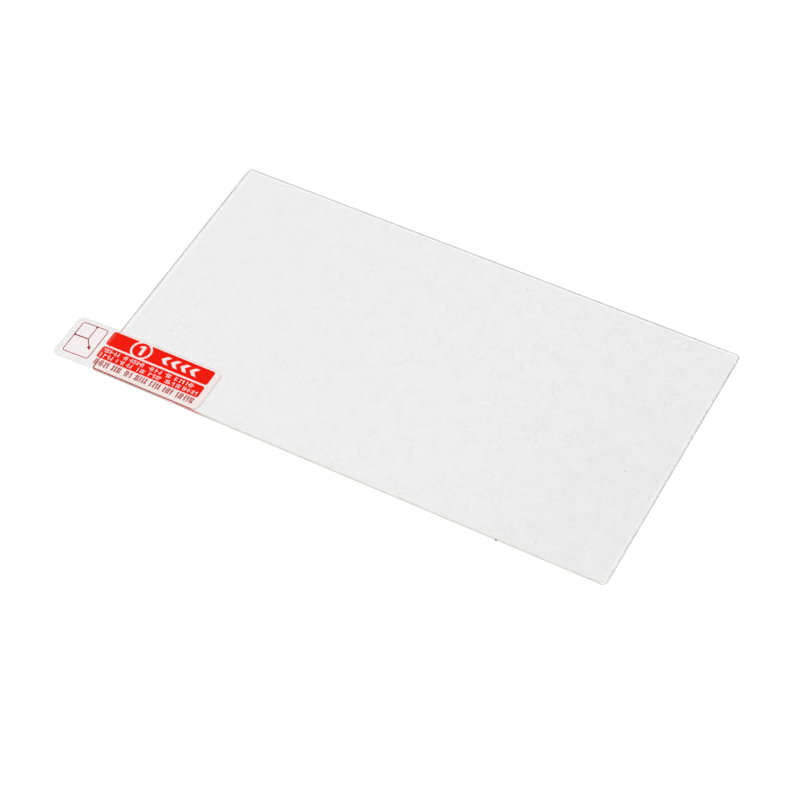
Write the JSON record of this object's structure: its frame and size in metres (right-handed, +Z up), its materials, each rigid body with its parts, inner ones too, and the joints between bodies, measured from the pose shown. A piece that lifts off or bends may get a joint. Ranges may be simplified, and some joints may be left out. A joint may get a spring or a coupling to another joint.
{
  "type": "screen protector",
  "caption": "Clear rectangular glass sheet with a release liner on its adhesive back and a red-printed film pull tab that overhangs one corner, to protect a small display.",
  "frame": {"origin": "centre of the glass's front face, which lies on the table", "axes": "+X along the glass's long side, away from the tab's free end, +Y across the glass, away from the tab, +Z up, out of the adhesive back"},
  "size_m": [0.1126, 0.0571, 0.0006],
  "materials": {
    "glass": "clear, polished, with a ground edge",
    "liner_film": "clear, smooth film",
    "tab_film": "clear, smooth film",
    "red_ink": "screen-printed ink, slightly see-through"
  },
  "bodies": {
    "root": {"screen_glass": "glass", "release_liner": "liner_film", "pull_tab": "tab_film", "tab_print": "red_ink"}
  },
  "joints": []
}
